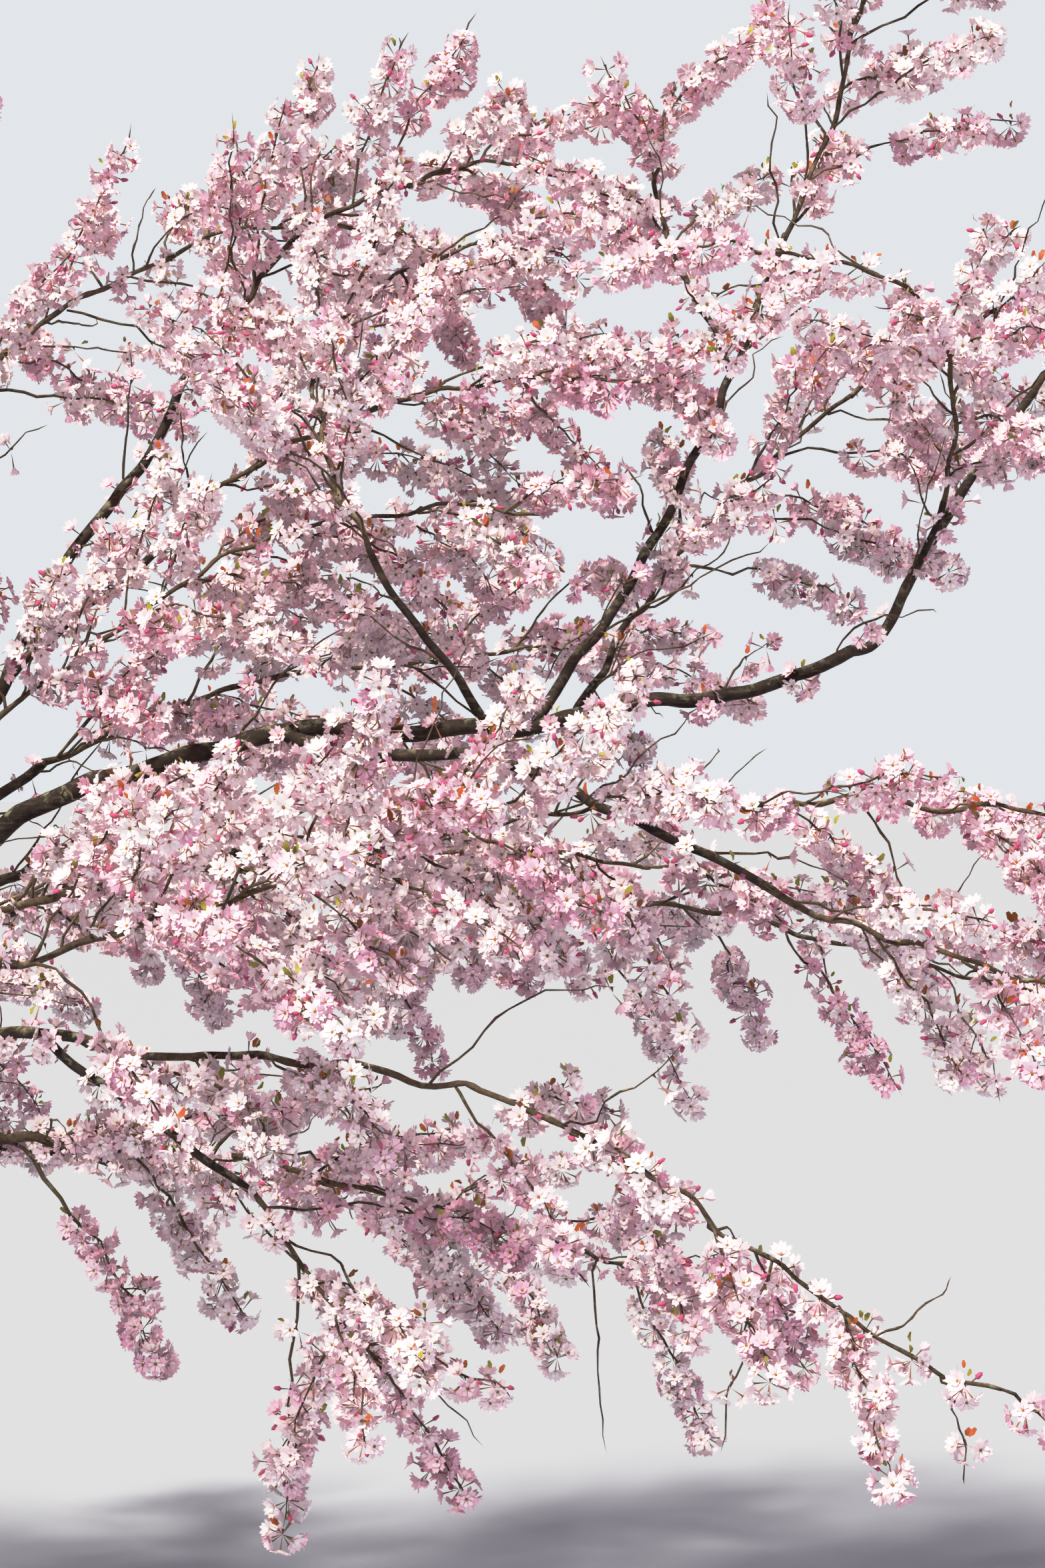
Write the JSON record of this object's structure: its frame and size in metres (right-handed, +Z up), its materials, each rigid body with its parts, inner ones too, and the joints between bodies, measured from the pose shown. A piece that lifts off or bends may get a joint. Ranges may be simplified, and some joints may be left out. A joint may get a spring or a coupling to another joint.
{
  "type": "flowering cherry tree",
  "caption": "Low, wide-spreading ornamental cherry in full pink blossom, with a flared trunk cut flat at the ground, long boughs and masses of blossom twigs.",
  "frame": {"origin": "middle of the trunk's flat cut at the ground", "axes": "+Z up, +X along the long sweeping bough, -Y towards the side the picture was taken from"},
  "size_m": [4.082, 2.9672, 2.9618],
  "materials": {
    "bark": "dark grey-brown rough bark with greenish-grey lichen",
    "blossom": "matt pale pink petals on dark twigs"
  },
  "bodies": {
    "root": {"trunk": "bark", "bough_sweep": "bark", "bough_sweep_rise": "bark", "bough_leader": "bark", "bough_leader_left": "bark", "bough_centre_up": "bark", "bough_right_inner": "bark", "bough_sweep_front": "bark", "bough_mid_right": "bark", "bough_mid_right_top": "bark", "bough_left_rise": "bark", "bough_upper_mid": "bark", "bough_left_inner": "bark", "bough_front": "bark", "bough_front_fork": "bark", "bough_low_right": "bark", "bough_low_hang": "bark", "bough_back_low": "bark", "bough_back_right": "bark", "bough_back_far": "bark", "bough_back_mid": "bark", "bough_back_high": "bark", "bough_left_low": "bark", "bough_left_mid": "bark", "bough_left_high": "bark", "bough_front_left": "bark", "bough_front_left_high": "bark", "bough_back_left": "bark", "bough_back": "bark", "bough_front_mid": "bark", "blossom_sweep_tip": "blossom", "blossom_leader_top": "blossom", "blossom_leader_left": "blossom", "blossom_centre_up": "blossom", "blossom_right_inner": "blossom", "blossom_sweep_front": "blossom", "blossom_mid_right": "blossom", "blossom_mid_right_top": "blossom", "blossom_left_rise": "blossom", "blossom_upper_mid": "blossom", "blossom_left_inner": "blossom", "blossom_front": "blossom", "blossom_front_fork": "blossom", "blossom_low_right": "blossom", "blossom_low_hang": "blossom", "blossom_low_inner": "blossom", "blossom_back_low": "blossom", "blossom_back_right": "blossom", "blossom_back_far": "blossom", "blossom_back_mid": "blossom", "blossom_back_high": "blossom", "blossom_left_low": "blossom", "blossom_left_mid": "blossom", "blossom_left_high": "blossom", "blossom_front_left": "blossom", "blossom_front_left_high": "blossom", "blossom_back_left": "blossom", "blossom_back": "blossom", "blossom_crown_top": "blossom", "blossom_front_mid": "blossom"}
  },
  "joints": []
}
